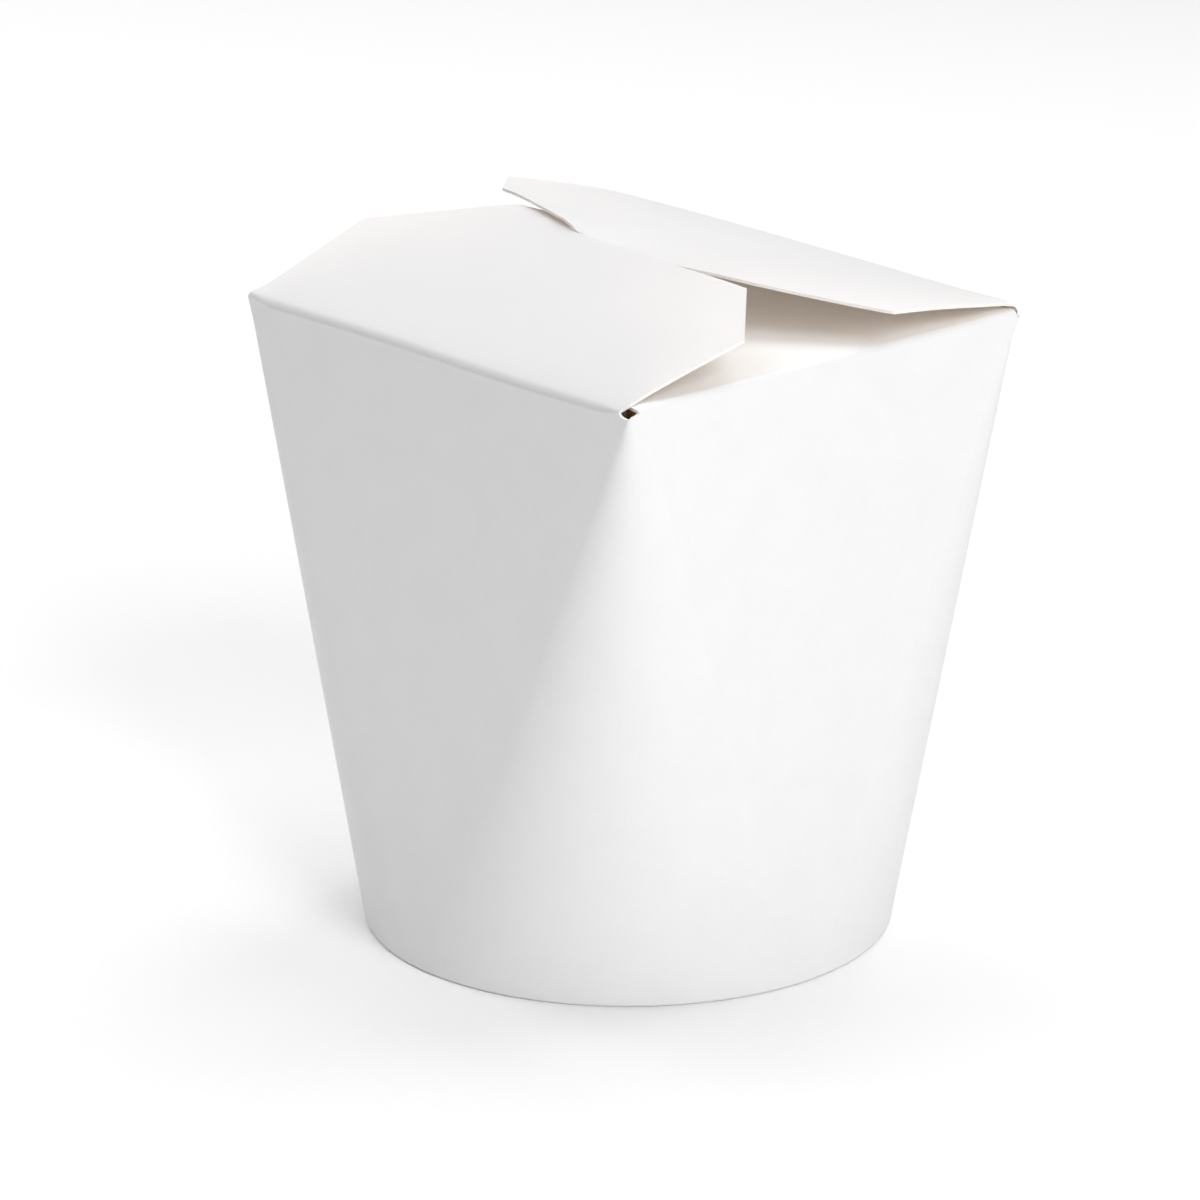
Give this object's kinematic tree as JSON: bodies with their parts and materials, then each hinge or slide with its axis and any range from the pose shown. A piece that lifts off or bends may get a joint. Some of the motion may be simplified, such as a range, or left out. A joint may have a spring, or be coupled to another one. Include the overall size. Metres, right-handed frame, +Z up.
{
  "type": "noodle takeaway box",
  "caption": "Shut paperboard takeaway box with a round foot, a wider rectangular top and two long interlocked lid flaps over inward-folded side flaps.",
  "frame": {"origin": "centre of the round foot, on the surface that the box stands on", "axes": "+Z up; X along the long edges of the rectangular top, where the two long lid flaps fold; Y along its short edges, with the front flap at -Y"},
  "size_m": [0.0942, 0.082, 0.1085],
  "materials": {
    "white_board": "smooth uncoated white board, matt to slightly satin",
    "white_base": "matt white board"
  },
  "bodies": {
    "root": {"carton": "white_board", "base_disc": "white_base"}
  },
  "joints": []
}
